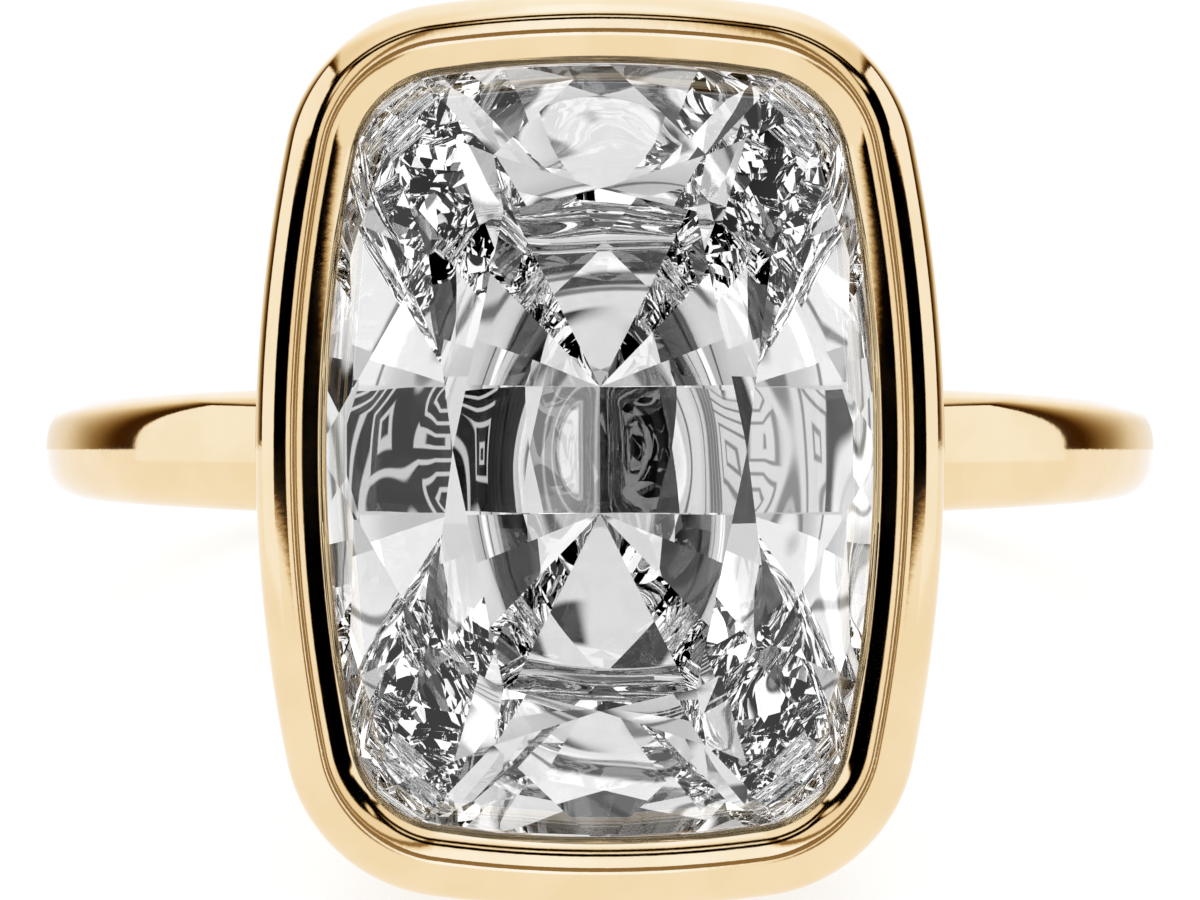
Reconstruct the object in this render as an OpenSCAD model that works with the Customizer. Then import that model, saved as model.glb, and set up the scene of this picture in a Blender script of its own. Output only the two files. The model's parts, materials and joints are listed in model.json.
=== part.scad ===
// Bezel set ring: a slim rounded shank carries a tall cup whose rounded rim holds an elongated
// cushion-cut stone. Everything is drawn in the ring's own frame first, with the finger hole's
// centre at zero, X across the finger, Y along the finger and Z from the finger to the stone.
// The whole ring is then laid on its side, as it rests on a table.

/* [Shank] */
// Radius of the finger hole
finger_r = 8.25; // [8:0.05:8.5]
// Thickness of the shank, from the finger to its crown
shank_t = 1.75; // [1.6:0.05:1.9]
// Width of the shank at the foot, opposite the stone
foot_w = 1.6; // [1.4:0.05:1.8]
// Width of the shank where it meets the bezel
head_w = 2.1; // [2:0.05:2.4]
// Height of the rounded outer side
dome_h = 0.7; // [0.5:0.05:0.9]

/* [Bezel] */
// Width across the rim, the short way
bezel_w = 9.88; // [9.6:0.02:10.2]
// Length across the rim, along the finger
bezel_l = 13.12; // [12.8:0.02:13.4]
// Radius of the long sides in plan
side_r = 22.5; // [19:0.5:26]
// Radius of the two ends in plan
end_r = 18; // [15:0.5:21]
// Radius of the four corners in plan
corner_r = 2.45; // [2.4:0.05:2.7]
// Width of the rounded rim
rim_w = 1.04; // [1.02:0.01:1.06]
// How far in from the outline the rim's crest is
crest_in = 0.56; // [0.54:0.01:0.58]
// Height of the rim's crest above the finger
rim_rise = 5.5; // [5.4:0.05:5.7]
// Thickness of the cup's wall
wall_t = 0.8; // [0.7:0.05:0.85]
// Lean of the cup's wall, in degrees
wall_lean = 17.5; // [16.5:0.5:18]
// Gap from the finger to the foot of the cup
cup_gap = 0.7; // [0.65:0.05:0.75]
// Thickness of the band that closes the finger hole under the stone
bridge_t = 0.8; // [0.8:0.02:0.84]

/* [Stone] */
// How far the rim reaches over the stone's edge
stone_cover = 0.14; // [0.1:0.02:0.2]
// Height of the stone's upper part
crown_h = 1.37; // [1.3:0.01:1.4]
// Height of the stone's edge band
girdle_h = 0.1; // [0.08:0.01:0.12]
// Depth of the stone's lower part
pavilion_h = 3.95; // [3.93:0.01:4]
// Width of the flat top facet
table_w = 4.1; // [3.8:0.05:4.4]
// Length of the flat top facet
table_l = 7.27; // [7:0.05:7.5]
// Length of the ridge along the stone's underside
keel_l = 1.84; // [1.6:0.02:2]

/* [Hidden] */

// Space between the stone and the metal round it: at its edge, under its edge and below the lip
fit_gap = 0.03;
seat_gap = 0.08;
lip_gap = 0.09;
// Height of the pocket's wall above the middle of the stone's edge
pocket_rise = 0.07;
// Slope of the seat under the stone, and the steepest slope of the stone's upper facets
seat_slope = 56;
crown_slope = 40;
// The rim's inner side: its radius past the crest, and how far it turns before the lip's small arc
inner_r = 0.7;
lip_turn = 35;
// Steps in one quarter of the bezel's outline: along the side, round the corner, along the end
side_steps = 5;
corner_steps = 10;
end_steps = 5;
quarter_steps = side_steps + corner_steps + end_steps;
// Steps round the rim's outer side, its inner side and its lip
outer_steps = 8;
inner_steps = 3;
lip_steps = 4;
// Steps round the finger, over the shank's rounded side and round the bore
shank_steps = 72;
dome_steps = 6;
bore_steps = 144;
// Power of the rounded side's curve: 2 is an ellipse, and more is squarer
dome_power = 2.4;
// Size of the eased edges at the finger and at the foot of the cup
inner_ease = 0.14;
foot_ease = 0.12;
// How deep the shank's blank reaches into the finger hole before it is bored
bore_stock = 0.25;
// Power of the shank's taper: the higher it is, the nearer to the bezel the widening starts
taper_power = 3;

shank_r = finger_r + shank_t;
dome_r = shank_r - dome_h;
rim_z = finger_r + rim_rise;
bead_r = crest_in;
bead_z = rim_z - bead_r;
lip_r = (rim_w - crest_in - inner_r * sin(lip_turn)) / (1 - sin(lip_turn));
lip_z = rim_z - inner_r + (inner_r - lip_r) * cos(lip_turn);
cup_z = finger_r + cup_gap;

// Plan of the bezel: three arcs to a quarter, each tangent to the next
side_c = [bezel_w / 2 - side_r, 0];
end_c = [0, bezel_l / 2 - end_r];
corner_c = meeting_circle(side_c, side_r - corner_r, end_c, end_r - corner_r);
side_end = atan2(corner_c.y, corner_c.x - side_c.x);
end_start = atan2(corner_c.y - end_c.y, corner_c.x);

// The upper crossing of two circles
function meeting_circle(a, ra, b, rb) =
    let (gap = norm(b - a), way = (b - a) / gap)
    let (along = (ra * ra - rb * rb + gap * gap) / (2 * gap))
    let (aside = sqrt(ra * ra - along * along))
    a + way * along + [-way.y, way.x] * aside;

// Point of the plan where its outward normal points at angle a, moved inward by off
function plan_point(a, off) =
    let (f = acos(abs(cos(a))))
    let (c = f <= side_end ? side_c : f < end_start ? corner_c : end_c)
    let (r = f <= side_end ? side_r : f < end_start ? corner_r : end_r)
    [sign(cos(a)) * (c.x + (r - off) * cos(f)), sign(sin(a)) * (c.y + (r - off) * sin(f))];

// Normal angle at step k of the plan: a quarter's steps are mirrored into the other three
function quarter_angle(j) =
    j <= side_steps ? side_end * j / side_steps :
    j <= side_steps + corner_steps
        ? side_end + (end_start - side_end) * (j - side_steps) / corner_steps
        : end_start + (90 - end_start) * (j - side_steps - corner_steps) / end_steps;
function plan_angle(k) =
    k <= quarter_steps ? quarter_angle(k) :
    k <= 2 * quarter_steps ? 180 - quarter_angle(2 * quarter_steps - k) :
    k <= 3 * quarter_steps ? 180 + quarter_angle(k - 2 * quarter_steps) :
    360 - quarter_angle(4 * quarter_steps - k);

// Section of the bezel, as [distance in from the outline, height], from the foot round the rim
stone_off = rim_w - stone_cover;
girdle_z = lip_z - stone_cover * tan(crown_slope) - lip_gap;
pocket_off = stone_off - fit_gap;
wall_across = wall_t / cos(wall_lean);
function wall_off(z) =
    bead_r * (1 - cos(wall_lean)) + (bead_z - bead_r * sin(wall_lean) - z) * tan(wall_lean);
seat_off = wall_off(girdle_z - girdle_h) + wall_across;
seat_z = girdle_z - girdle_h - seat_gap;
function arc(x, z, r, from, to, steps) =
    [for (k = [0:steps - 1]) let (t = from + (to - from) * k / steps) [x + r * cos(t), z + r * sin(t)]];
bezel_section = [
    [wall_off(cup_z) + foot_ease, cup_z],
    [wall_off(cup_z + foot_ease), cup_z + foot_ease],
    each arc(crest_in, bead_z, bead_r, 180 + wall_lean, 90, outer_steps),
    each arc(crest_in, rim_z - inner_r, inner_r, 90, 90 - lip_turn, inner_steps),
    each arc(rim_w - lip_r, lip_z, lip_r, 90 - lip_turn, 0, lip_steps),
    [rim_w, lip_z],
    [pocket_off, girdle_z + pocket_rise],
    [pocket_off, seat_z],
    [seat_off, seat_z - (seat_off - pocket_off) * tan(seat_slope)],
    [wall_off(cup_z + foot_ease) + wall_across, cup_z + foot_ease],
    [wall_off(cup_z) + wall_across - foot_ease, cup_z],
];

// Section of the shank, as [distance along the finger, radius], for a width w
function shank_section(w) =
    let (half = [
        [w / 2 - inner_ease - bore_stock, finger_r - bore_stock],
        [w / 2, finger_r + inner_ease],
        for (k = [0:dome_steps - 1])
            let (t = 90 * k / dome_steps)
            [w / 2 * pow(cos(t), 2 / dome_power), dome_r + dome_h * pow(sin(t), 2 / dome_power)],
    ])
    concat([for (p = half) [-p.x, p.y]], [[0, shank_r]], [for (k = [len(half) - 1:-1:0]) half[k]]);
// The width falls from the head to the foot with the height above the finger's centre
function shank_w(a) = foot_w + (head_w - foot_w) * pow((1 + cos(a)) / 2, taper_power);

// A closed ring of sections: rows is a list of equal lists of points
module ring_of(rows) {
    n = len(rows);
    m = len(rows[0]);
    polyhedron(
        points = [for (row = rows) each row],
        faces = [for (i = [0:n - 1], j = [0:m - 1])
            let (a = i * m, b = (i + 1) % n * m, c = (j + 1) % m)
            each [[a + j, b + c, b + j], [a + j, a + c, b + c]]]
    );
}

// The shank, bored to a true cylinder, with a flat cut where the stone's tip needs room
module shank() {
    cut_x = bezel_w / 2 - wall_off(cup_z) - wall_across / 2;
    difference() {
        ring_of([for (k = [0:shank_steps - 1])
            let (a = 360 * k / shank_steps)
            [for (p = shank_section(shank_w(a))) [p.y * sin(a), p.x, p.y * cos(a)]]]);
        rotate([90, 0, 0]) cylinder(h = 2 * head_w, r = finger_r, center = true, $fn = bore_steps);
        translate([-cut_x, -head_w, finger_r + bridge_t]) cube([2 * cut_x, 2 * head_w, shank_t]);
    }
}

module bezel() {
    ring_of([for (k = [0:4 * quarter_steps - 1])
        let (a = plan_angle(k))
        [for (p = bezel_section) [each plan_point(a, p.x), p.y]]]);
}

// The stone's upper part. A quarter runs from the side, past the corner, to the end: index 0 is
// the side, 2 the corner and 4 the end, with the small facets between them at 1 and 3.
edge_turns = [0, 9, 39, 69, 90];
table_corner = [1.34, 3.32];
table_z = girdle_z + crown_h;
table_points = [[table_w / 2, 0], undef, table_corner, undef, [0, table_l / 2]];
// How far below the table the small facets round it end
star_drops = [undef, 0.24, undef, 0.34, undef];

function heading(a) = [cos(a), sin(a)];
// The point whose distances along headings a and b are da and db
function crossing(a, da, b, db) =
    [da * sin(b) - db * sin(a), db * cos(a) - da * cos(b)] / sin(b - a);
// Run of the main facet at even index i, from its inner point to the stone's edge
function edge_point(i) = [each plan_point(edge_turns[i], stone_off), girdle_z];
function table_reach(i) = table_points[i] * heading(edge_turns[i]);
function crown_run(i) =
    (plan_point(edge_turns[i], stone_off) * heading(edge_turns[i]) - table_reach(i)) / crown_h;
// Where two neighbouring main facets meet
function star_tip(i) =
    let (d = star_drops[i], a = i - 1, b = i + 1)
    [each crossing(edge_turns[a], table_reach(a) + crown_run(a) * d,
        edge_turns[b], table_reach(b) + crown_run(b) * d), table_z - d];

// A facet is kept as [a, b, c] for its height a * x + b * y + c, here from a slope or three points
function sloped(turn, slope, p, z) = let (h = heading(turn) * slope) [h.x, h.y, z - p * h];
function through(p, q, r) =
    let (n = cross(q - p, r - p), a = -n.x / n.z, b = -n.y / n.z)
    [a, b, p.z - a * p.x - b * p.y];
function height(facet, p) = facet * [p.x, p.y, 1];
crown_facets = [
    for (i = [0, 2, 4]) sloped(edge_turns[i], -1 / crown_run(i), table_points[i], table_z),
    for (i = [1, 3], k = [0, 1]) through(star_tip(i), edge_point(i - 1 + k), edge_point(i + k)),
];

// The stone's lower part: long facets that pass the end of its ridge, each as [heading, slope],
// and shorter ones that touch its edge
keel_z = girdle_z - girdle_h - pavilion_h;
keel_end = [0, keel_l / 2];
keel_cuts = [[0, 42.2], [10, 42.6], [54, 37], [90, 39.8]];
edge_cuts = [[0, 50], [6, 48], [12, 46], [39, 41], [66, 40], [74, 41], [82, 42], [90, 43]];
lower_facets = [
    for (c = keel_cuts) sloped(c[0], tan(c[1]), keel_end, keel_z),
    for (c = edge_cuts) sloped(c[0], tan(c[1]), plan_point(c[0], stone_off), girdle_z - girdle_h),
];
all_lower = [for (f = lower_facets, sx = [-1, 1], sy = [-1, 1]) [sx * f[0], sy * f[1], f[2]]];

// Corners of the lower part: where three facets meet inside the outline, with no other facet above
// the place. The outline is tested and drawn in small turns.
edge_step = 3;
function meeting(f, g, h) =
    let (u = f - g, v = f - h, d = u[0] * v[1] - u[1] * v[0])
    abs(d) < tiny ? [-1, -1] : [u[1] * v[2] - u[2] * v[1], u[2] * v[0] - u[0] * v[2]] / d;
function lower_height(p) = max([for (f = all_lower) height(f, p)]);
function inside(p) =
    p.x > -tiny && p.y > -tiny
        && min([for (a = [0:edge_step:90]) (plan_point(a, stone_off) - p) * heading(a)]) > 0;
function on_top(f, p) = inside(p) && height(f, p) > lower_height(p) - tiny;
tiny = 1e-5;
last = len(all_lower) - 1;
lower_corners = [
    for (i = [0:last - 2], j = [i + 1:last - 1], k = [j + 1:last])
        let (f = all_lower[i], p = meeting(f, all_lower[j], all_lower[k]))
        if (on_top(f, p)) [p.x, p.y, height(f, p)]
];

// One quarter of the stone's corners. Round its edge they follow the curved outline, and the
// facets above and below end there, so the edge band is a little uneven, as it is on a cut stone.
stone_quarter = [
    for (i = [0, 2, 4]) [each table_points[i], table_z],
    for (i = [1, 3]) star_tip(i),
    for (a = [0:edge_step:90]) let (p = plan_point(a, stone_off)) each [
        [p.x, p.y, min([for (f = crown_facets) height(f, p)])],
        [p.x, p.y, lower_height(p)],
    ],
    each lower_corners,
];

// The stone's facets are the flat faces between its corners, mirrored from one quarter
module cushion_stone() {
    points = [for (p = stone_quarter, sx = [-1, 1], sy = [-1, 1]) [sx * p.x, sy * p.y, p.z]];
    n = len(points);
    hull() polyhedron(points = points, faces = [for (k = [0:n - 1]) [k, (k + 1) % n, (k + 2) % n]]);
}

// Lying down: the ring leans back until the rim's lower end and the shank's foot both touch. The
// lean is settled in rounds from a first guess, because the foot's reach depends on it.
lean_guess = 14;
lean_rounds = 12;
round_power = dome_power / (dome_power - 1);
function rounded_reach(across, up) =
    pow(pow(across, round_power) + pow(up, round_power), 1 / round_power);
function foot_reach(a) = rounded_reach(foot_w / 2 * cos(a), dome_h * sin(a));
function next_lean(a) =
    asin(((bezel_l / 2 - bead_r) * cos(a) + bead_r - foot_reach(a)) / (bead_z + dome_r));
function settle(a, n) = n == 0 ? a : settle(next_lean(a), n - 1);
lean = settle(lean_guess, lean_rounds);
rest_z = dome_r * sin(lean) + foot_reach(lean);
front_reach = max((bezel_l / 2 - bead_r) * sin(lean) + bead_z * cos(lean) + bead_r,
    table_l / 2 * sin(lean) + table_z * cos(lean));
back_reach = dome_r * cos(lean) + rounded_reach(foot_w / 2 * sin(lean), dome_h * cos(lean));
rest_y = (front_reach - back_reach) / 2;

module laid_down() {
    translate([0, rest_y, rest_z]) rotate([90 - lean, 0, 0]) children();
}

module mounting() {
    color([0.83, 0.62, 0.33]) laid_down() {
        shank();
        bezel();
    }
}

module stone() {
    color([0.9, 0.92, 0.95]) laid_down() cushion_stone();
}

mounting();
stone();
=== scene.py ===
# %% [markdown]
# A bezel set ring, dressed for its portrait.
#
# The ring is two pieces. The mounting is the gold: a slim shank that goes round the finger, and
# a tall tapered cup, the bezel, whose rounded rim holds the stone. The stone is an elongated
# cushion cut. The measured solids of both are loaded first and fix every size and place. This
# lesson then makes the surfaces that are seen: gold with true curves, a stone with flat facets,
# their polish, and the studio that polish needs.

# %% Load the measured solids
import json
import math

import bmesh
import bpy
from mathutils import Matrix, Vector


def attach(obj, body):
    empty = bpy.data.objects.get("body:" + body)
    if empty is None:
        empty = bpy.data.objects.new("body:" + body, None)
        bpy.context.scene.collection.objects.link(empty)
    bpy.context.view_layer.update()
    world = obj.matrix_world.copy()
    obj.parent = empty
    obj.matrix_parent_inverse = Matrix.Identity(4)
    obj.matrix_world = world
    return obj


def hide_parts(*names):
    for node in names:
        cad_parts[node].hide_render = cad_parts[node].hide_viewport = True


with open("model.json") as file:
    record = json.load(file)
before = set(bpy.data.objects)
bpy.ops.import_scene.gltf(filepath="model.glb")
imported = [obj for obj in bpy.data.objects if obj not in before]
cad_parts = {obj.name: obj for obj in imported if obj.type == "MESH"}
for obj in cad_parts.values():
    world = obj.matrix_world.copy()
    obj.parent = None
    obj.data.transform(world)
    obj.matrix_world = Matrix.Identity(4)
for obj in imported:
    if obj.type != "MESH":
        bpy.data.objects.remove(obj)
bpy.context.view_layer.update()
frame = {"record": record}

MM = 0.001

# %% [markdown]
# The ring lies on its side, a little tilted, so nothing on it is square to the floor. A jeweller
# would still measure it from the finger: across the finger (X), along the finger (F) and out
# towards the stone (H). The record states the finger hole's centre and axis, so one matrix made
# from them takes any point from the ring's own measures, in millimetres, to its place.

# %% The ring's own frame
hole = frame["record"]["mounts"][0]
across = Vector((1, 0, 0))
finger_axis = Vector(hole["axis"]).normalized()
head_axis = across.cross(finger_axis)
hole_centre = Vector(hole["pos_m"])
finger_r = hole["dims"]["r_mm"]

ring_turn = Matrix((across, finger_axis, head_axis)).transposed().to_4x4()
ring_place = Matrix.Translation(hole_centre) @ ring_turn @ Matrix.Scale(MM, 4)
lean = math.degrees(math.asin(finger_axis.y))
print("the ring leans back by", round(lean, 2), "degrees; finger hole radius", finger_r, "mm")

# %% [markdown]
# The portrait looks straight down on the stone, along H, with the finger's direction upright in
# the picture. A long lens this near gives the same perspective as the photograph, in which the
# shank looks smaller than the rim in front of it.

# %% The camera
camera_gap = 61.0 * MM
lens = 100
sensor = 36
camera_data = bpy.data.cameras.new("portrait")
camera_data.lens = lens
camera_data.sensor_width = sensor
camera_data.clip_start = 1 * MM
camera_data.clip_end = 20
camera = bpy.data.objects.new("portrait", camera_data)
camera.matrix_world = Matrix.Translation(hole_centre + head_axis * camera_gap) @ ring_turn
bpy.context.collection.objects.link(camera)
bpy.context.scene.camera = camera
print("camera elevation:", round(math.degrees(math.asin(head_axis.z)), 1), "degrees")

# %% [markdown]
# Materials, the studio and the shapes that follow a rule are all made of nodes here. Writing sums
# as node after node hides them, so a small class wraps a node's output and lets Python's own
# operators add the Math nodes. Every other kind of node comes from one method, which takes its
# type, its settings and what goes into its sockets.

# %% A wrapped socket
class Wire:
    """A node's output. Arithmetic on it adds Math nodes to its tree."""

    def __init__(self, bench, socket):
        self.bench = bench
        self.socket = socket

    def maths(self, operation, *others):
        return self.bench.maths(operation, self, *others)

    def __add__(self, other):
        return self.maths("ADD", other)

    def __radd__(self, other):
        return self.bench.maths("ADD", other, self)

    def __sub__(self, other):
        return self.maths("SUBTRACT", other)

    def __rsub__(self, other):
        return self.bench.maths("SUBTRACT", other, self)

    def __mul__(self, other):
        return self.maths("MULTIPLY", other)

    def __rmul__(self, other):
        return self.bench.maths("MULTIPLY", other, self)

    def __truediv__(self, other):
        return self.maths("DIVIDE", other)

    def __pow__(self, other):
        return self.maths("POWER", other)

    def __abs__(self):
        return self.maths("ABSOLUTE")

    def above(self, edge):
        return self.maths("GREATER_THAN", edge)

    def at_least(self, low):
        return self.maths("MAXIMUM", low)

    def clamped(self):
        return self.bench.maths("ADD", self, 0.0, clamp=True)

    def out(self, name):
        """Another output of the same node."""
        return Wire(self.bench, self.socket.node.outputs[name])


# %% A bench to build trees on
class Bench:
    """A node tree under construction."""

    def __init__(self, tree):
        self.tree = tree

    def node(self, kind, settings=None, values=None, out=0):
        node = self.tree.nodes.new(kind)
        for name, value in (settings or {}).items():
            setattr(node, name, value)
        for key, value in (values or {}).items():
            self.feed(node.inputs[key], value)
        return Wire(self, node.outputs[out])

    def feed(self, socket, value):
        if isinstance(value, Wire):
            self.tree.links.new(value.socket, socket)
        else:
            socket.default_value = value

    def maths(self, operation, *values, clamp=False):
        settings = {"operation": operation, "use_clamp": clamp}
        return self.node("ShaderNodeMath", settings, dict(enumerate(values)))

    def mix(self, share, low, high):
        """A colour between two others."""
        return self.node("ShaderNodeMix", {"data_type": "RGBA"}, {0: share, 6: low, 7: high}, out=2)

    def colour(self, red, green, blue):
        return self.node("ShaderNodeCombineColor", None, {0: red, 1: green, 2: blue})

    def dot(self, a, b):
        return self.node("ShaderNodeVectorMath", {"operation": "DOT_PRODUCT"}, {0: a, 1: b}, out="Value")

    def noise(self, where, scale, detail=2.0):
        return self.node("ShaderNodeTexNoise", None, {"Vector": where, "Scale": scale, "Detail": detail})

    def step(self, value, start, end, low=0.0, high=1.0):
        """Goes smoothly from low to high while value goes from start to end."""
        values = {"Value": value, "From Min": start, "From Max": end, "To Min": low, "To Max": high}
        return self.node("ShaderNodeMapRange", {"interpolation_type": "SMOOTHSTEP"}, values)

    def band(self, value, start, end, soft):
        """One between start and end, zero outside, with soft edges."""
        opening = self.step(value, start - soft, start + soft)
        return opening * self.step(value, end - soft, end + soft, 1.0, 0.0)


print("wrapped sockets ready:", [name for name in vars(Wire) if not name.startswith("_")])

# %% [markdown]
# Gold is a metal, so its colour is the colour of its reflections, and it has no other. Polished
# jewellery is nearly a mirror. What keeps it from looking like a computer's chrome is small: a
# faint haze that varies with the buffing, and hair-fine polishing marks.

# %% Polished yellow gold
GOLD = (0.87, 0.665, 0.385, 1)
GOLD_DEEP = (0.83, 0.60, 0.31, 1)
HAZE_SCALE = 900.0
HAZE = (0.03, 0.06)
MARKS_SCALE = 9000.0
MARKS_HAZE = 0.01
MARKS_DEPTH = 0.02 * MM


def polished_gold():
    material = bpy.data.materials.new("polished_yellow_gold")
    material.use_nodes = True
    bench = Bench(material.node_tree)
    shader = material.node_tree.nodes["Principled BSDF"]
    where = bench.node("ShaderNodeTexCoord", out="Object")
    haze = bench.noise(where, HAZE_SCALE, 3.0)
    marks = bench.noise(where, MARKS_SCALE)
    tint = bench.step(haze, 0.35, 0.65)
    shader.inputs["Metallic"].default_value = 1.0
    bench.feed(shader.inputs["Base Color"], bench.mix(tint * 0.5, GOLD, GOLD_DEEP))
    bench.feed(shader.inputs["Roughness"], bench.step(haze, 0.3, 0.7, *HAZE) + marks * MARKS_HAZE)
    bump = bench.node("ShaderNodeBump", None, {"Height": marks, "Strength": 0.02, "Distance": MARKS_DEPTH})
    bench.feed(shader.inputs["Normal"], bump)
    return material


gold = polished_gold()
print("gold reflects", GOLD[:3])

# %% [markdown]
# The bezel is one section carried round the stone's outline. On the real ring it starts as a
# strip of metal bent to the outline, whose top edge is rounded and pushed over the stone. So its
# rim is three arcs: a round outer one up to the crest, a wider one from there inwards, and a
# tight lip that turns down over the stone's edge. Below the lip a sloped seat carries the stone.
# The outline is a rule too, three arcs to a quarter.

# %% Sizes of the bezel, in millimetres
bezel_w = 9.88
bezel_l = 13.12
side_r = 22.5
end_r = 18.0
corner_r = 2.45
rim_w = 1.04
rim_rise = 5.5
crest_in = 0.56
inner_r = 0.7
lip_turn = 35
wall_t = 0.8
wall_lean = 17.5
cup_gap = 0.7
foot_ease = 0.12
stone_cover = 0.14
fit_gap = 0.03
seat_gap = 0.08
lip_gap = 0.09
pocket_rise = 0.07
seat_slope = 56
crown_slope = 40
girdle_h = 0.1

rim_z = finger_r + rim_rise
bead_z = rim_z - crest_in
lip_sin = math.sin(math.radians(lip_turn))
lip_r = (rim_w - crest_in - inner_r * lip_sin) / (1 - lip_sin)
lip_z = rim_z - inner_r + (inner_r - lip_r) * math.cos(math.radians(lip_turn))
cup_z = finger_r + cup_gap
stone_off = rim_w - stone_cover
girdle_z = lip_z - stone_cover * math.tan(math.radians(crown_slope)) - lip_gap
pocket_off = stone_off - fit_gap
wall_slope = math.tan(math.radians(wall_lean))
wall_across = wall_t / math.cos(math.radians(wall_lean))
bead_edge = bead_z - crest_in * math.sin(math.radians(wall_lean))
print("the rim's crest is at", round(rim_z, 2), "mm, its lip's centre at", round(lip_z, 2))


def wall_off(z):
    """How far in from the outline the cup's outer wall is at a height z."""
    return crest_in * (1 - math.cos(math.radians(wall_lean))) + (bead_edge - z) * wall_slope


# %% The outline's arcs
def meeting_circle(a, ra, b, rb):
    """The upper crossing of two circles."""
    gap = (b - a).length
    way = (b - a) / gap
    along = (ra * ra - rb * rb + gap * gap) / (2 * gap)
    aside = math.sqrt(ra * ra - along * along)
    return a + way * along + Vector((-way.y, way.x)) * aside


side_c = Vector((bezel_w / 2 - side_r, 0))
end_c = Vector((0, bezel_l / 2 - end_r))
corner_c = meeting_circle(side_c, side_r - corner_r, end_c, end_r - corner_r)
side_end = math.atan2(corner_c.y, corner_c.x - side_c.x)
end_start = math.atan2(corner_c.y - end_c.y, corner_c.x)
print("the outline turns its corner from", round(math.degrees(side_end), 1),
      "to", round(math.degrees(end_start), 1), "degrees")

# %% The bezel's section
outer_steps = 30
inner_steps = 14
lip_steps = 10
wall_steps = 12


def arc(x, z, radius, start, end, steps):
    """Points of an arc from one angle to another, without its last one."""
    turns = [start + (end - start) * k / steps for k in range(steps)]
    return [(x + radius * math.cos(turn), z + radius * math.sin(turn)) for turn in turns]


def bezel_section():
    """Points as (in from the outline, height), from the foot up the wall, over the rim, down the seat."""
    seat_off = wall_off(girdle_z - girdle_h) + wall_across
    seat_z = girdle_z - girdle_h - seat_gap
    foot_z = cup_z + foot_ease
    points = [(wall_off(cup_z) + foot_ease, cup_z)]
    for k in range(wall_steps):
        z = foot_z + (bead_edge - foot_z) * k / wall_steps
        points.append((wall_off(z), z))
    wall_turn, crest, lip = (math.radians(turn) for turn in (180 + wall_lean, 90, 90 - lip_turn))
    points += arc(crest_in, bead_z, crest_in, wall_turn, crest, outer_steps)
    points += arc(crest_in, rim_z - inner_r, inner_r, crest, lip, inner_steps)
    points += arc(rim_w - lip_r, lip_z, lip_r, lip, 0, lip_steps)
    points.append((rim_w, lip_z))
    points.append((pocket_off, girdle_z + pocket_rise))
    points.append((pocket_off, seat_z))
    points.append((seat_off, seat_z - (seat_off - pocket_off) * math.tan(math.radians(seat_slope))))
    points.append((wall_off(foot_z) + wall_across, foot_z))
    points.append((wall_off(cup_z) + wall_across - foot_ease, cup_z))
    return points


def chain(name, points):
    """A mesh object of loose vertices, one for each point of a section."""
    mesh = bpy.data.meshes.new(name)
    mesh.from_pydata([(x, 0.0, z) for x, z in points], [], [])
    piece = bpy.data.objects.new(name, mesh)
    bpy.context.collection.objects.link(piece)
    return piece


bezel = chain("bezel", bezel_section())
print("the section has", len(bezel.data.vertices), "points")

# %% [markdown]
# A sweep along a drawn curve could carry the section. Because the outline is a plain rule,
# Geometry Nodes work it out instead. The section's points come in as a chain of vertices, and
# each point of a grid finds its place round the rule from its own index. The shank uses the same
# kind of tree, so the part that both share is one class.

# %% From a modifier to a plain mesh
weld = 0.0001
print("points nearer than", weld, "mm become one")


def flattened(piece, name):
    """Turns what the modifiers make of a piece into its plain mesh, with its faces outwards."""
    depsgraph = bpy.context.evaluated_depsgraph_get()
    mesh = bpy.data.meshes.new_from_object(piece.evaluated_get(depsgraph))
    piece.modifiers.clear()
    mesh.name = name
    work = bmesh.new()
    work.from_mesh(mesh)
    bmesh.ops.dissolve_degenerate(work, dist=weld, edges=work.edges)
    bmesh.ops.recalc_face_normals(work, faces=work.faces)
    work.to_mesh(mesh)
    loose = sum(1 for edge in work.edges if len(edge.link_faces) != 2)
    volume = work.calc_volume(signed=True)
    work.free()
    piece.data = mesh
    print(name, "faces", len(mesh.polygons), "open edges", loose, "volume", round(volume, 2))
    return piece


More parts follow.
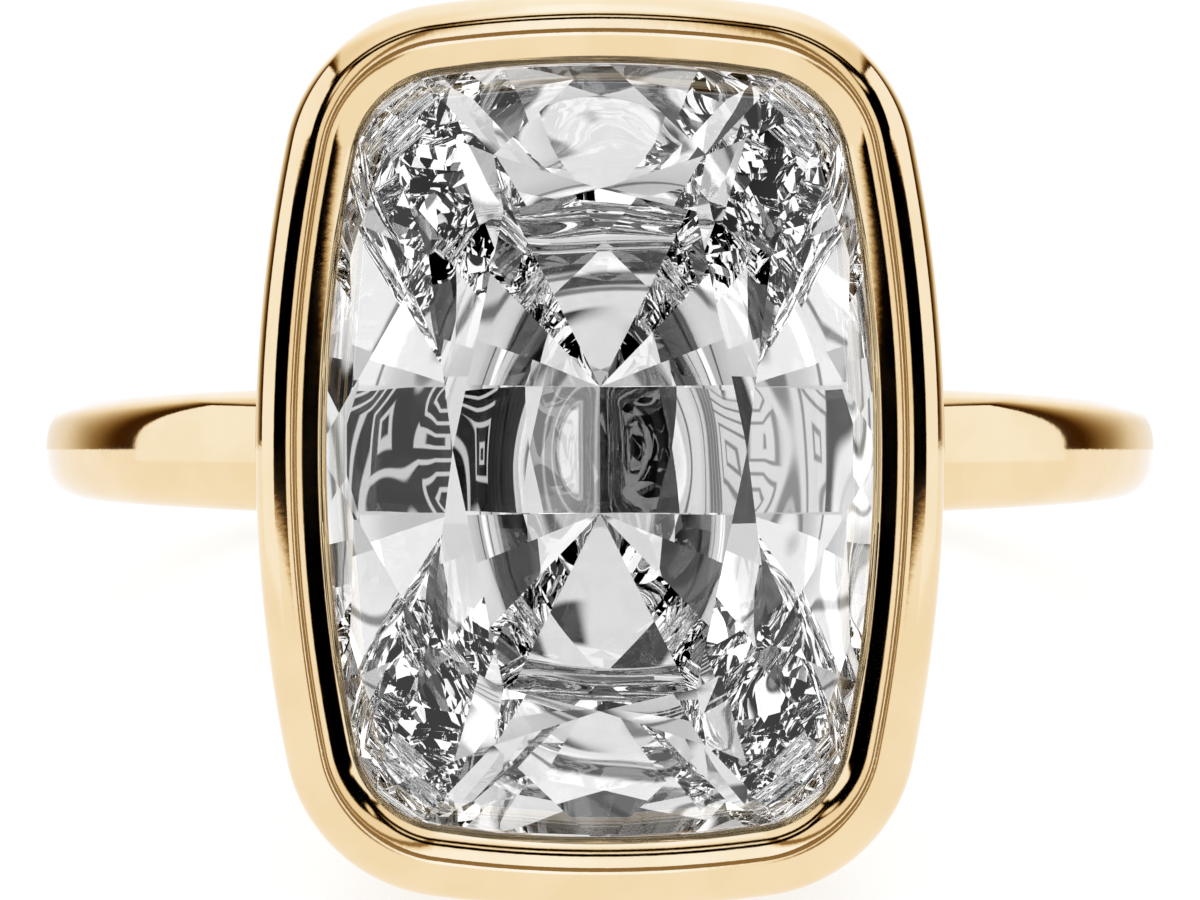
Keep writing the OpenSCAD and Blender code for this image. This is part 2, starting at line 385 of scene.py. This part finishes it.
# %% A tree that turns a section round a rule
class Shape(Bench):
    """A Geometry Nodes tree with named sizes, whose grid has a row for each step round the rule."""

    def __init__(self, name, sizes, steps):
        super().__init__(bpy.data.node_groups.new(name, "GeometryNodeTree"))
        self.sizes = sizes
        face = self.tree.interface
        face.new_socket("Section", in_out="INPUT", socket_type="NodeSocketGeometry")
        for size in sizes:
            face.new_socket(size, in_out="INPUT", socket_type="NodeSocketFloat")
        face.new_socket("Solid", in_out="OUTPUT", socket_type="NodeSocketGeometry")
        self.start = self.node("NodeGroupInput")
        section = self.start.out("Section")
        count = self.node("GeometryNodeAttributeDomainSize", None, {"Geometry": section})
        index = self.node("GeometryNodeInputIndex")
        row_size = count + 1
        self.turn = (index / row_size).maths("FLOOR") / steps
        column = index.maths("MODULO", row_size).maths("MODULO", count)
        self.grid = self.node("GeometryNodeMeshGrid", None, {"Vertices X": steps + 1, "Vertices Y": row_size})
        place = self.node("GeometryNodeInputPosition")
        point = self.node("GeometryNodeSampleIndex", {"data_type": "FLOAT_VECTOR"},
                          {"Geometry": section, "Value": place, "Index": column})
        self.inward = self.node("ShaderNodeSeparateXYZ", None, {0: point})
        self.height = self.inward.out("Z")

    def size(self, name):
        return self.start.out(name)

    def close(self, x, y, z, material):
        """Moves the grid to the ring's frame, welds its seams and gives it its metal."""
        place = self.node("ShaderNodeCombineXYZ", None, {0: x, 1: y, 2: z})
        moved = self.node("GeometryNodeSetPosition", None, {"Geometry": self.grid, "Position": place})
        welded = self.node("GeometryNodeMergeByDistance", None, {"Geometry": moved, "Distance": weld})
        realised = self.node("GeometryNodeRealizeInstances", None, {"Geometry": welded})
        done = self.node("GeometryNodeSetMaterial", None, {"Geometry": realised, "Material": material})
        self.tree.links.new(done.socket, self.tree.nodes.new("NodeGroupOutput").inputs["Solid"])

    def applied(self, piece, name):
        """The plain mesh that the tree makes of a piece."""
        modifier = piece.modifiers.new("rule", "NODES")
        modifier.node_group = self.tree
        sockets = {s.name: s.identifier for s in self.tree.interface.items_tree if s.in_out == "INPUT"}
        for size, value in self.sizes.items():
            modifier[sockets[size]] = value
        return flattened(piece, name)


print("trees can be built")

# %% [markdown]
# A quarter of the outline is a side arc, a corner arc and an end arc. Each gets a share of the
# quarter's rows, most of them for the tight corner. A point's turn round the whole outline says
# which arc it is on, which way the outline faces there, and which quarter it is mirrored into.

# %% The bezel's tree
round_steps = 320
side_share = 0.26
corner_share = 0.52
end_share = 1 - side_share - corner_share


def bezel_shape(material):
    sizes = {
        "Side Centre": side_c.x, "Side Radius": side_r, "Side Turn": side_end,
        "Corner Centre X": corner_c.x, "Corner Centre Y": corner_c.y, "Corner Radius": corner_r,
        "End Centre": end_c.y, "End Radius": end_r, "End Turn": end_start,
    }
    shape = Shape("bezel_outline", sizes, round_steps)
    size = shape.size
    quarter = (shape.turn * 4).maths("PINGPONG", 1.0)
    along_side = (quarter / side_share).clamped()
    along_corner = ((quarter - side_share) / corner_share).clamped()
    along_end = ((quarter - side_share - corner_share) / end_share).clamped()
    normal = (size("Side Turn") * along_side + (size("End Turn") - size("Side Turn")) * along_corner
              + (math.pi / 2 - size("End Turn")) * along_end)
    past_side = normal.above(size("Side Turn"))
    past_corner = normal.above(size("End Turn"))
    on_side = 1 - past_side
    on_corner = past_side - past_corner
    centre_x = size("Side Centre") * on_side + size("Corner Centre X") * on_corner
    centre_y = size("Corner Centre Y") * on_corner + size("End Centre") * past_corner
    radius = (size("Side Radius") * on_side + size("Corner Radius") * on_corner
              + size("End Radius") * past_corner)
    reach = radius - shape.inward
    whole_turn = shape.turn * (2 * math.pi)
    right = whole_turn.maths("COSINE").maths("SIGN")
    upper = whole_turn.maths("SINE").maths("SIGN")
    shape.close(right * (centre_x + reach * normal.maths("COSINE")),
                upper * (centre_y + reach * normal.maths("SINE")), shape.height, material)
    return shape


bezel_shape(gold).applied(bezel, "bezel")

# %% [markdown]
# The shank is the band round the finger: flat inside with eased edges, rounded outside, and a
# little wider towards the bezel. Its section is a squarish half oval. The width is a rule of the
# angle, so the tree turns the section round the finger and stretches it on the way. Under the cup
# the band is cut flat, so that nothing of it shows inside.

# %% The shank's section
shank_t = 1.75
foot_w = 1.6
head_w = 2.1
dome_h = 0.7
dome_power = 2.4
inner_ease = 0.14
taper_power = 3
bridge_t = 0.8
dome_steps = 22
ease_steps = 5
shank_r = finger_r + shank_t
dome_r = shank_r - dome_h
shank_steps = 480


def shank_section():
    """Points as (share of the half width, radius), round from one edge to the other."""
    half = []
    for k in range(ease_steps + 1):
        turn = math.pi / 2 * k / ease_steps
        half.append((1 - inner_ease / head_w * 2 * (1 - math.sin(turn)),
                     finger_r + inner_ease * (1 - math.cos(turn))))
    for k in range(dome_steps):
        turn = math.pi / 2 * k / dome_steps
        half.append((math.cos(turn) ** (2 / dome_power),
                     dome_r + dome_h * math.sin(turn) ** (2 / dome_power)))
    return half + [(0.0, shank_r)] + [(-x, z) for x, z in reversed(half)]


# %% The shank's tree
flat_half = bezel_w / 2 - wall_off(cup_z) - wall_across / 2


def shank_shape(material):
    sizes = {
        "Foot Width": foot_w, "Head Width": head_w, "Taper Power": taper_power,
        "Flat Height": finger_r + bridge_t, "Flat Half Length": flat_half,
    }
    shape = Shape("shank_round", sizes, shank_steps)
    size = shape.size
    angle = shape.turn * (2 * math.pi)
    nearness = (1 + angle.maths("COSINE")) / 2
    width = size("Foot Width") + (size("Head Width") - size("Foot Width")) * nearness ** size("Taper Power")
    x = shape.height * angle.maths("SINE")
    z = shape.height * angle.maths("COSINE")
    under_cup = (1 - abs(x).above(size("Flat Half Length"))) * z.above(size("Flat Height"))
    flat_z = z - under_cup * (z - size("Flat Height"))
    shape.close(x, shape.inward * width / 2, flat_z, material)
    return shape


shank = shank_shape(gold).applied(chain("shank", shank_section()), "shank")

# %% [markdown]
# The real shank and bezel are cast or soldered into one, with no seam left to see. A Boolean
# union fuses the two closed meshes, and edges sharper than the eased ones stay crisp.

# %% One mounting
def soldered(base, other, name):
    union = base.modifiers.new("solder", "BOOLEAN")
    union.operation = "UNION"
    union.object = other
    union.solver = "EXACT"
    flattened(base, name)
    bpy.data.objects.remove(other)
    base.name = name
    return base


def shade_smooth(piece, crisp=35):
    """Smooth shading that stays crisp where two faces meet at more than crisp degrees."""
    piece.data.shade_smooth()
    work = bmesh.new()
    work.from_mesh(piece.data)
    for edge in work.edges:
        edge.smooth = len(edge.link_faces) == 2 and edge.calc_face_angle() < math.radians(crisp)
    work.to_mesh(piece.data)
    work.free()


def into_place(piece):
    """Moves the mesh, not the object, from the ring's measures to its place."""
    piece.data.transform(ring_place)
    piece.data.update()


metal = soldered(bezel, shank, "gold_mounting")
shade_smooth(metal)
into_place(metal)
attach(metal, "root")
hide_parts("mounting")
metal.visible_transmission = False

# %% [markdown]
# The stone is a cushion cut stretched along the finger. A cutter grinds one flat facet after
# another onto a block of the right outline, each set by a heading, a slope and how deep it goes.
# The same is done here: a straight block, then one cut for each facet, mirrored to all four
# quarters. The crown above the edge has a large eight-sided table with stars, mains and small
# facets round it, and the pavilion below has long mains that run to a short ridge, the keel, and
# smaller facets that start at the edge. The pavilion's slopes decide where the light goes.

# %% The stone's sizes, in millimetres and degrees
crown_h = 1.37
pavilion_h = 3.95
table_w = 4.1
table_l = 7.27
keel_l = 1.84
table_corner = Vector((1.34, 3.32))
edge_turns = [0, 9, 39, 69, 90]
# Stars lie at the odd ones of these headings, and their tips this far below the table.
star_drops = {1: 0.24, 3: 0.34}
# Each lower cut is a heading and a slope.
keel_cuts = [(0, 42.2), (10, 42.6), (54, 37), (90, 39.8)]
edge_cuts = [(0, 50), (6, 48), (12, 46), (39, 41), (66, 40), (74, 41), (82, 42), (90, 43)]
block_sides = 120

table_z = girdle_z + crown_h
edge_z = girdle_z - girdle_h
keel_z = edge_z - pavilion_h
table_points = {0: Vector((table_w / 2, 0)), 2: table_corner, 4: Vector((0, table_l / 2))}
print("the stone goes from", round(keel_z, 2), "to", round(table_z, 2), "mm above the finger's centre")


def heading(turn):
    return Vector((math.cos(math.radians(turn)), math.sin(math.radians(turn))))


def outline_point(turn, off):
    """Point of the outline's first quarter where its normal points at turn, moved inward by off."""
    angle = math.radians(turn)
    if angle <= side_end:
        centre, radius = side_c, side_r
    elif angle < end_start:
        centre, radius = corner_c, corner_r
    else:
        centre, radius = end_c, end_r
    return centre + (radius - off) * heading(turn)


# %% Where the crown's facets meet
def crossing(a, reach_a, b, reach_b):
    """The point whose distances along headings a and b are reach_a and reach_b."""
    a, b = math.radians(a), math.radians(b)
    return Vector((reach_a * math.sin(b) - reach_b * math.sin(a),
                   reach_b * math.cos(a) - reach_a * math.cos(b))) / math.sin(b - a)


def star_tip(i):
    """Where the crown mains on both sides of star i cross, at the star's drop below the table."""
    turns = [edge_turns[i - 1], edge_turns[i + 1]]
    reaches = []
    for k, turn in zip((i - 1, i + 1), turns):
        start = table_points[k].dot(heading(turn))
        edge = outline_point(turn, stone_off).dot(heading(turn))
        reaches.append(start + (edge - start) * star_drops[i] / crown_h)
    return crossing(turns[0], reaches[0], turns[1], reaches[1])


print("the stars' tips are at", [[round(v, 2) for v in star_tip(i)] for i in star_drops])


# %% The cuts
def cut(turn, slope, point, z):
    """A facet's plane: its outward normal and a point on it. Slopes below the edge face down."""
    side = 1 if z >= girdle_z else -1
    tilt = math.radians(slope)
    flat = heading(turn) * math.sin(tilt)
    return Vector((*flat, side * math.cos(tilt))), Vector((*point, z))


def cut_through(a, b, c):
    """The plane through three points, facing away from the stone's middle."""
    normal = (b - a).cross(c - a).normalized()
    if normal.dot(Vector((0, 0, girdle_z)) - a) > 0:
        normal = -normal
    return normal, a


def crown_cuts():
    cuts = [(Vector((0, 0, 1)), Vector((0, 0, table_z)))]
    for i, corner in table_points.items():
        turn = edge_turns[i]
        run = (outline_point(turn, stone_off) - corner).dot(heading(turn))
        cuts.append(cut(turn, math.degrees(math.atan2(crown_h, run)), corner, table_z))
    for i, drop in star_drops.items():
        tip = Vector((*star_tip(i), table_z - drop))
        left, right = (Vector((*table_points[k], table_z)) for k in (i - 1, i + 1))
        edge = [Vector((*outline_point(edge_turns[k], stone_off), girdle_z)) for k in (i - 1, i, i + 1)]
        cuts += [cut_through(left, right, tip), cut_through(tip, edge[0], edge[1]),
                 cut_through(tip, edge[1], edge[2])]
    return cuts


def pavilion_cuts():
    keel = Vector((0, keel_l / 2))
    cuts = [cut(turn, slope, keel, keel_z) for turn, slope in keel_cuts]
    return cuts + [cut(turn, slope, outline_point(turn, stone_off), edge_z) for turn, slope in edge_cuts]


print("one quarter takes", len(crown_cuts()) + len(pavilion_cuts()), "cuts")

# %% [markdown]
# The stone is clear and colourless, and bends light far more than glass does. Light that enters
# through the table is turned back by the steep facets below, so the stone shows a broken mosaic
# of the room in front of it and hardly anything of what is behind it. Flat mirrors would show
# straight pieces of that room. The pieces in the photograph are bent, more so away from the
# middle, so the lower facets get a slight dish and waves too long to see as texture.

# %% The stone's finish
STONE_INDEX = 2.417
LINES_SCALE = 4000.0
STONE_HAZE = 0.0004
WAVES_SCALE = 260.0
WAVES_H = 0.08
DISH = 0.006
CALM_R = 0.6
WAVY_R = 2.4
EDGE_FADE = 0.3


def cut_stone():
    material = bpy.data.materials.new("colourless_cut_stone")
    material.use_nodes = True
    bench = Bench(material.node_tree)
    shader = material.node_tree.nodes["Principled BSDF"]
    where = bench.node("ShaderNodeTexCoord", out="Object")
    lines = bench.noise(where, LINES_SCALE)
    shader.inputs["Base Color"].default_value = (1, 1, 1, 1)
    shader.inputs["IOR"].default_value = STONE_INDEX
    shader.inputs["Transmission Weight"].default_value = 1.0
    bench.feed(shader.inputs["Roughness"], bench.step(lines, 0.6, 0.9, 0.0, STONE_HAZE))
    x = bench.dot(where, tuple(across / MM))
    f = bench.dot(where, tuple(finger_axis / MM)) - hole_centre.dot(finger_axis) / MM
    up = bench.dot(where, tuple(head_axis / MM)) - hole_centre.dot(head_axis) / MM
    oval = x * x + f * f * 0.5
    waves = bench.noise(where, WAVES_SCALE, 0.5) * bench.step(oval ** 0.5, CALM_R, WAVY_R, 0.25, 1.0)
    below_edge = bench.step(up, edge_z - EDGE_FADE, edge_z, 1.0, 0.0)
    height = (waves * WAVES_H - oval * DISH) * below_edge
    bump = bench.node("ShaderNodeBump", None, {"Height": height, "Strength": 1.0, "Distance": MM})
    bench.feed(shader.inputs["Normal"], bump)
    return material


clear_stone = cut_stone()
print("the stone has an index of", STONE_INDEX)


# %% Grind the stone
def block(name, low, high, material):
    """A straight block with the stone's outline."""
    quarter = [outline_point(90 * k / block_sides * 4, stone_off) for k in range(block_sides // 4 + 1)]
    loop = quarter + [Vector((-p.x, p.y)) for p in reversed(quarter[:-1])]
    loop += [Vector((p.x, -p.y)) for p in reversed(loop[1:-1])]
    work = bmesh.new()
    rows = [[work.verts.new((p.x, p.y, z)) for p in loop] for z in (low, high)]
    work.faces.new(rows[0])
    work.faces.new(rows[1])
    for k in range(len(loop)):
        work.faces.new((rows[0][k - 1], rows[0][k], rows[1][k], rows[1][k - 1]))
    piece = bpy.data.objects.new(name, bpy.data.meshes.new(name))
    piece.data.materials.append(material)
    bpy.context.collection.objects.link(piece)
    return piece, work


def ground(work, at, normal):
    """Cuts away what lies outside a plane and closes the cut with one flat face."""
    everything = work.verts[:] + work.edges[:] + work.faces[:]
    made = bmesh.ops.bisect_plane(work, geom=everything, dist=1e-6, plane_co=at,
                                  plane_no=normal, clear_outer=True)
    rim = [part for part in made["geom_cut"] if isinstance(part, bmesh.types.BMEdge)]
    if rim:
        bmesh.ops.contextual_create(work, geom=rim)


def facetted(name, cuts, material):
    """Grinds the block flat along each cut, mirrored to all four quarters."""
    piece, work = block(name, keel_z - 1, table_z + 1, material)
    done = set()
    for normal, point in cuts:
        for side, end in ((1, 1), (-1, 1), (-1, -1), (1, -1)):
            mirrored = Vector((normal.x * side, normal.y * end, normal.z))
            key = (*(round(v, 5) + 0.0 for v in mirrored), round(normal.dot(point), 5))
            if key not in done:
                done.add(key)
                ground(work, Vector((point.x * side, point.y * end, point.z)), mirrored)
    bmesh.ops.remove_doubles(work, verts=work.verts, dist=weld)
    bmesh.ops.recalc_face_normals(work, faces=work.faces)
    loose = sum(1 for edge in work.edges if len(edge.link_faces) != 2)
    volume = round(work.calc_volume(), 1)
    print(name, "has", len(work.faces), "faces,", loose, "open edges and", volume, "cubic mm")
    work.to_mesh(piece.data)
    work.free()
    return piece


gem = facetted("cushion_stone", crown_cuts() + pavilion_cuts(), clear_stone)
into_place(gem)
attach(gem, "root")
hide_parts("stone")

# %% [markdown]
# The floor is pale and matt. It glows a little, so that it stays as white as a product
# photograph's and the ring's shadow on it stays faint. The ring's polish doesn't mirror it: the
# studio below does that, and its lower half is as pale as the floor.

# %% The floor
floor_size = 3.0
FLOOR_TONES = ((0.29, 0.29, 0.29, 1), (0.31, 0.31, 0.31, 1))
FLOOR_GLOW = 0.74
floor_mesh = bpy.data.meshes.new("floor")
corners = [(-floor_size, -floor_size, 0), (floor_size, -floor_size, 0),
           (floor_size, floor_size, 0), (-floor_size, floor_size, 0)]
floor_mesh.from_pydata(corners, [], [(0, 1, 2, 3)])
floor = bpy.data.objects.new("floor", floor_mesh)
bpy.context.collection.objects.link(floor)

floor_paint = bpy.data.materials.new("pale_floor")
floor_paint.use_nodes = True
floor_bench = Bench(floor_paint.node_tree)
floor_shader = floor_paint.node_tree.nodes["Principled BSDF"]
floor_where = floor_bench.node("ShaderNodeTexCoord", out="Object")
floor_grain = floor_bench.noise(floor_where, 300.0)
floor_bench.feed(floor_shader.inputs["Base Color"], floor_bench.mix(floor_grain, *FLOOR_TONES))
floor_shader.inputs["Emission Color"].default_value = (1, 1, 1, 1)
floor_shader.inputs["Emission Strength"].default_value = FLOOR_GLOW
floor_shader.inputs["Roughness"].default_value = 0.9
floor_shader.inputs["Specular IOR Level"].default_value = 0.1
floor_mesh.materials.append(floor_paint)
floor.visible_transmission = False
floor.visible_glossy = False
print("the floor reaches", floor_size, "m each way")

# %% [markdown]
# Polished gold shows its surroundings, so the studio is part of the finish. It is laid out on a
# chart, as a mapmaker lays out the sky. The chart's centre is where the stone points. A
# direction's distance from the centre is its angle from there, in degrees. East is across the
# finger, to the portrait's right, and north is up along the finger. The horizon here is the
# chart's east and west line.

# %% The studio's chart
world = bpy.data.worlds.new("studio")
bpy.context.scene.world = world
world.use_nodes = True
sky = Bench(world.node_tree)
dome = world.node_tree.nodes["Background"]
toward = sky.node("ShaderNodeTexCoord", out="Generated")
side_part = sky.dot(toward, tuple(across))
up_part = sky.dot(toward, tuple(finger_axis))
front_part = sky.dot(toward, tuple(head_axis))

plan = (side_part * side_part + up_part * up_part) ** 0.5
angle = plan.maths("ARCTAN2", front_part) * (180 / math.pi)
east = side_part / plan * angle
north = up_part / plan * angle
aside = abs(east)
rise = abs(north)
print("the chart's centre is", [round(v, 2) for v in head_axis])


# %% Brushes for the chart
def patch(east_start, east_end, north_start, north_end, soft=1.5):
    """A soft-edged rectangle, by its edges in degrees."""
    return sky.band(east, east_start, east_end, soft) * sky.band(north, north_start, north_end, soft)


def spot(east_at, north_at, east_size, north_size, tilt):
    """A soft oval."""
    x = (east - east_at) / east_size
    y = (north - north_at - (east - east_at) * tilt) / north_size
    return sky.step((x * x + y * y) ** 0.5, 0.4, 1.1, 1.0, 0.0)


def stripes(value, gap, width, soft=0.04):
    """Soft stripes, one to each gap, as wide as a share of it."""
    share = (value / gap).maths("FRACT")
    return sky.band(share, 0.5 - width / 2, 0.5 + width / 2, soft)


def nest(east_at, ratio):
    """How far out a direction is in a set of nested frames round a place on the horizon."""
    return abs(east - east_at).at_least(rise * ratio)


def faded(base, share, other):
    """Base, turned into other by a share."""
    return base + share * (other - base)


print("brushes ready:", [brush.__name__ for brush in (patch, spot, stripes, nest, faded)])

# %% [markdown]
# The gold mirrors a white tent. Its upper edge is a ledge that droops a little to both sides and
# then rises towards the tent's ends. Just past that edge it is black, and farther out the light
# comes back through brown, which gives the shank its pale blob with a dark halo. Below the horizon
# all is as pale as the floor. Bright panels stand at both sides and give the rim's outer walls
# their sheen.

# %% The tent
PLAIN = 1.0
FLOOR_LIGHT = 1.1
PANEL_LIGHT = 1.2
FAR_LIGHT = 1.25
LEDGE_NORTH = 46.0
TENT_END = 107.0

ledge = (LEDGE_NORTH - aside * 0.3).at_least(aside * 0.95 - 3.0)
past_ledge = north - ledge
past_end = aside - (TENT_END - north * north * 0.0055)
outside = past_ledge.at_least(past_end)
inside = sky.step(outside, -0.8, 0.8, 1.0, 0.0)
halo = (outside / (3.0 + (aside - 45.0).at_least(0.0) * 0.5)).clamped()

tent = sky.step(aside, 15.0, 50.0, 1.12, 0.93)
tent = tent + sky.band(east, -7.0, 7.0, 4.0) * sky.band(north, 54.0, 88.0, 6.0) * 0.25
shade = sky.step(halo, 0.18, 1.0, 0.98, 0.0) * sky.step(aside, 16.0, 30.0)
tent = tent * (1 - shade * sky.step(aside, 124.0, 150.0, 1.0, 0.0))
tent = faded(tent, sky.step(north + outside, 85.0, 150.0), FAR_LIGHT)
tent = faded(tent, inside * sky.step(aside, 40.0, 60.0, 1.0, 0.0), PLAIN)
tent = faded(tent, sky.step(north, 0.0, 1.0, 1.0, 0.0), FLOOR_LIGHT)
east_panels = patch(57.0, 130.0, -9.0, 200.0) + patch(46.0, 58.0, 15.0, 200.0)
west_panels = patch(-130.0, -54.0, -9.0, 200.0) + patch(-55.0, -40.0, 15.0, 200.0)
tent = faded(tent, (east_panels + west_panels).clamped() * inside, PANEL_LIGHT)
tent = tent + sky.band(east, -4.0, 2.0, 1.0) * patch(-10.0, 10.0, -12.0, 40.0) * 0.3
print("chart and tent take", len(world.node_tree.nodes), "nodes")

# %% [markdown]
# Black strips stand in front of the tent, as a photographer sets them to draw the edges of a
# polished thing. The round rim squeezes them into the thin dark lines that run along it. Light
# shows through a few soft holes in them, where the photograph's lines are broken. The small dark
# patch in the middle is the front of a lens. The stone's own shine is the same studio much dimmed.

# %% Black strips
SHINE = 0.25

east_strips = patch(19.5, 60.0, -3.5, 15.0) + patch(20.0, 48.0, 13.0, 34.0)
west_strips = patch(-60.0, -20.5, -3.5, 15.0) + patch(-40.0, -22.0, 13.0, 33.0)
north_strip = sky.band(north + aside * 0.25, 31.0, 38.0, 0.8) * sky.band(east, -26.0, 24.0, 1.5)
strips = (east_strips + west_strips + north_strip).clamped()
holes = (spot(27.0, 24.0, 6.0, 3.0, 0.4) + spot(50.0, 17.0, 7.0, 2.5, 0.3)
         + spot(-27.0, 24.0, 4.0, 6.0, -0.8)).clamped()
ledge_line = sky.band(past_ledge, -4.0, 3.0, 1.5) * sky.step(aside, 42.0, 50.0, 1.0, 0.0)
inner_lines = sky.band(east, -9.5, -5.5, 1.0) + sky.band(east, 4.0, 8.0, 1.0)
lines = (ledge_line + inner_lines * patch(-12.0, 12.0, -12.0, 40.0) * 0.8).clamped()
level = tent * (1 - strips * (1 - holes)) * (1 - lines)
stone_shine = level * SHINE * (1 - patch(-4.0, 4.0, -6.4, 6.4, 0.4))
level = level * (1 - patch(-3.0, 3.0, -4.9, 4.9, 0.4) * 0.85)
print("with its strips the studio takes", len(world.node_tree.nodes), "nodes")

# %% [markdown]
# The stone would be a grey blank in so plain a tent. What makes a cut stone lively is that its
# small pieces of the room differ, so light that leaves the stone meets a pattern of its own. It
# has nested frames crossed by slanting stripes, a bright middle with a dark ring, a dark side to
# the west and a light side with a window to the east. The two sides have finer frames, which the
# stone shows to the left and right of its middle.

# %% The pattern for light that leaves the stone
frames = aside.at_least(rise * 0.85)
broad_frames = stripes(frames, 26.0, 0.5, 0.2) * 0.45
thin_frames = stripes(frames + 3.0, 8.0, 0.12) * 0.75
dark_slants = stripes(east + north * 0.8 + 8.0, 44.0, 0.2, 0.02) * sky.step(frames, 50.0, 54.0) * 0.97
light_slants = stripes(east - north * 0.7, 31.0, 0.12, 0.02) * sky.step(frames, 24.0, 28.0) * 0.8
bright_middle = sky.step(angle, 9.0, 10.5, 1.0, 0.0)
dark_ring = sky.band(angle, 11.5, 15.0, 0.6) * 0.93
dark_patch = patch(-9.0, -1.0, -7.0, 7.0, 0.5) * 0.93
sparkle = (0.7 + broad_frames) * (1 - thin_frames) * (1 - dark_slants) + light_slants
sparkle = faded(sparkle, bright_middle, PLAIN) * (1 - dark_ring) * (1 - dark_patch)

# %% Its dark and light sides
DARK_AT = -20.0
LIGHT_AT = 18.0
FINE_GAP = 2.6
LONG = 3.0

dark_frames = stripes(nest(DARK_AT, LONG), FINE_GAP, 0.3, 0.06) * 0.75
dark_frames = dark_frames * sky.step(east, -25.5, -24.5, 0.02, 1.0)
sparkle = faded(sparkle, patch(-42.0, -11.0, -4.6, 4.6, 0.4), 0.004 + dark_frames)
light_frames = 0.95 - stripes(nest(LIGHT_AT, LONG), FINE_GAP, 0.25, 0.08) * 0.6
sparkle = faded(sparkle, patch(14.0, 34.0, -4.0, 4.0, 0.4), light_frames)
window = 0.3 + stripes(east, 1.7, 0.2, 0.08) * 0.35
sparkle = faded(sparkle, patch(23.5, 30.0, -4.0, 4.0, 0.4), window)
print("with the stone's pattern it takes", len(world.node_tree.nodes), "nodes")

# %% [markdown]
# Light that goes in, turns twice on the lower facets and comes out has met the stone four times,
# and the world counts it as five deep. Each longer path lies over that picture as a grey veil,
# so it is dimmed. The longest paths, which fill the corners, meet coarse black and white shards
# instead, and give the corners their broken glitter.

# %% How often the light has turned
SHORT_PATH = 5.0
LONG_PATH = 9.0
VEIL = 0.12

light_path = sky.node("ShaderNodeLightPath", out="Is Glossy Ray")
turned = light_path.out("Ray Depth")
shards = 0.06 + stripes(east + north * 0.6, 50.0, 0.62, 0.02) * 1.4
sparkle = sparkle * sky.step(turned, SHORT_PATH, SHORT_PATH + 1, 1.0, VEIL)
sparkle = faded(sparkle, sky.step(turned, LONG_PATH, LONG_PATH + 1), shards)
print("paths deeper than", SHORT_PATH, "are dimmed to", VEIL)

# %% [markdown]
# The world can tell rays apart by how they got there. Rays from the camera see plain white. Rays
# that leave the stone see its pattern, and rays that its sharp surface mirrors see the tent much
# dimmed. All other mirrored rays come from the gold. They see the tent in a warmer tone where it
# is dark and a creamier one where it is bright, as the photograph's gold goes from brown through
# yellow to cream.

# %% Light for each kind of ray
in_stone = light_path.out("Is Transmission Ray")
off_stone = light_path.out("Is Singular Ray") * (1 - in_stone)
off_gold = light_path * (1 - in_stone) * (1 - off_stone)
over = (level - PLAIN).at_least(0.0)
tone = sky.colour(level ** 0.75 * (1 - over * 0.27), level, level ** 1.5 * (1 + over * 0.6))
clear = level + in_stone * (sparkle - level) + off_stone * (stone_shine - level)
mirrored = sky.mix(off_gold, sky.colour(clear, clear, clear), tone)
sky.feed(dome.inputs["Color"], sky.mix(light_path.out("Is Camera Ray"), mirrored, (1.0, 1.0, 1.0, 1.0)))
dome.inputs["Strength"].default_value = 1.0
world.cycles.sampling_method = "NONE"
print("the studio has", len(world.node_tree.nodes), "nodes")

# %% [markdown]
# One broad light overhead gives the floor its soft shadow. The gold and the stone don't mirror
# it, because their light is the studio's.

# %% The soft light overhead
key_spread = 100
key_data = bpy.data.lights.new("overhead", "SUN")
key_data.energy = 1.0
key_data.angle = math.radians(key_spread)
key = bpy.data.objects.new("overhead", key_data)
key.visible_glossy = False
key.visible_transmission = False
bpy.context.collection.objects.link(key)
print("the light overhead is", key_spread, "degrees wide")

# %% [markdown]
# The light bounces many times inside the stone before it leaves, so the renderer may follow more
# bounces than usual. Plain display colours keep whites white and blacks black, as a product
# photograph does.

# %% Bounces and display
most_bounces = 14
cycles = bpy.context.scene.cycles
cycles.max_bounces = most_bounces
cycles.glossy_bounces = most_bounces
cycles.transmission_bounces = most_bounces
bpy.context.scene.view_settings.view_transform = "Standard"
print("up to", most_bounces, "bounces")
